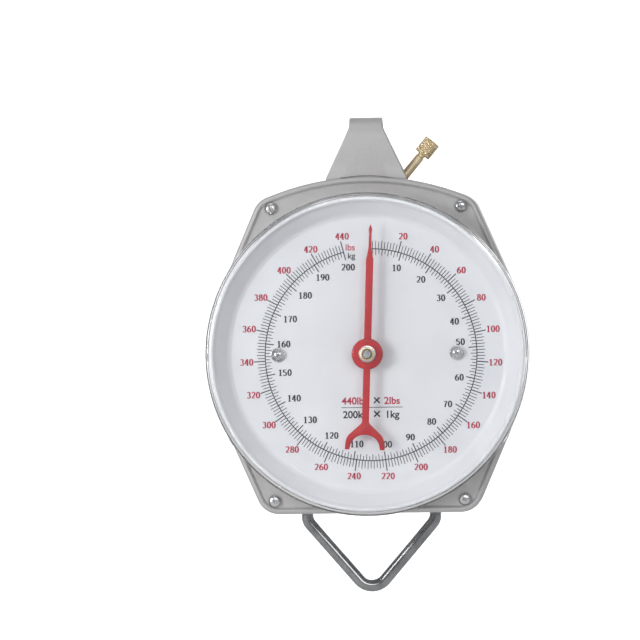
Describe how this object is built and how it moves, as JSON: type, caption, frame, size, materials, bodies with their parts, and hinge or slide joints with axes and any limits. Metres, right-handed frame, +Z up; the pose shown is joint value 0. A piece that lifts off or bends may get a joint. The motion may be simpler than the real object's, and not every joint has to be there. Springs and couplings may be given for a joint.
{
  "type": "hanging spring scale",
  "caption": "Hanging dial scale: steel case, folded hanger strap, clear dial cover, red pointer, brass zero screw and a wire bail that pulls down on inner springs.",
  "frame": {"origin": "top of the inside of the hanger strap's eye, where the hook that holds the scale bears", "axes": "+Z up along the hanging line, the dial faces -Y, +X to the right as seen from the front"},
  "size_m": [0.17, 0.052, 0.2506],
  "materials": {
    "case_paint": "satin silver-grey stove enamel on pressed steel",
    "zinc_plate": "bright zinc plate",
    "spring_steel": "oiled dark spring steel",
    "brass": "turned and knurled brass",
    "dial_white": "white enamel with printed scale",
    "pointer_red": "red plastic",
    "clear_plastic": "clear polystyrene"
  },
  "bodies": {
    "case": {"front_shell": "case_paint", "rear_shell": "case_paint", "case_screw_upper_left": "zinc_plate", "case_screw_upper_right": "zinc_plate", "case_screw_lower_left": "zinc_plate", "case_screw_lower_right": "zinc_plate", "hanger_strap": "case_paint", "spring_anchor": "zinc_plate", "hanger_rivet_left": "zinc_plate", "hanger_rivet_right": "zinc_plate", "spring_pin_upper_left": "zinc_plate", "spring_pin_upper_right": "zinc_plate", "spring_left": "spring_steel", "spring_right": "spring_steel", "movement_frame": "zinc_plate", "movement_bridge": "zinc_plate", "front_bush": "brass", "rear_bush": "brass", "rack_guide_post": "brass", "bridge_screw_lower": "zinc_plate", "bridge_screw_upper": "zinc_plate", "frame_screw_left": "zinc_plate", "frame_screw_right": "zinc_plate", "dial_pan": "dial_white", "clear_cover": "clear_plastic", "dial_post_left": "zinc_plate", "dial_post_right": "zinc_plate", "dial_washer_left": "zinc_plate", "dial_washer_right": "zinc_plate", "dial_screw_left": "zinc_plate", "dial_screw_right": "zinc_plate", "zero_bush": "brass"},
    "load_carriage": {"load_yoke": "zinc_plate", "spring_pin_lower_left": "zinc_plate", "spring_pin_lower_right": "zinc_plate", "bail": "zinc_plate", "bail_nut_left": "zinc_plate", "bail_nut_right": "zinc_plate", "rack": "brass", "rack_screw_lower": "zinc_plate", "rack_screw_upper": "zinc_plate"},
    "pointer": {"pointer": "pointer_red", "pointer_washer": "zinc_plate", "pointer_nut": "brass", "pointer_shaft": "zinc_plate", "pinion": "brass"},
    "zero_screw": {"zero_screw": "brass", "zero_clip": "spring_steel"},
    "zero_nut": {"zero_nut": "zinc_plate"}
  },
  "joints": [
    {"name": "load_slide", "type": "slide", "parent": "case", "child": "load_carriage", "axis": [0, 0, -1], "range_m": [0, 0.024], "stiffness_N_per_m": 81750, "deforming": ["spring_left", "spring_right"]},
    {"name": "pointer_spin", "type": "hinge", "parent": "case", "child": "pointer", "pos_m": [0, -0.019, -0.122], "axis": [0, 1, 0], "range_deg": [0, 344]},
    {"name": "zero_screw_turn", "type": "hinge", "parent": "case", "child": "zero_screw", "pos_m": [0.0182, 0, -0.0307], "axis": [0.6428, 0, 0.766], "range_deg": [-720, 720]},
    {"name": "zero_nut_slide", "type": "slide", "parent": "case", "child": "zero_nut", "axis": [0.6428, 0, 0.766], "range_m": [-0.0017, 0.0017]}
  ],
  "couplings": [
    {"joint": "pointer_spin", "follows": "load_slide", "rad_per_m": 250},
    {"joint": "zero_nut_slide", "follows": "zero_screw_turn", "m_per_rad": -0.00012732}
  ]
}
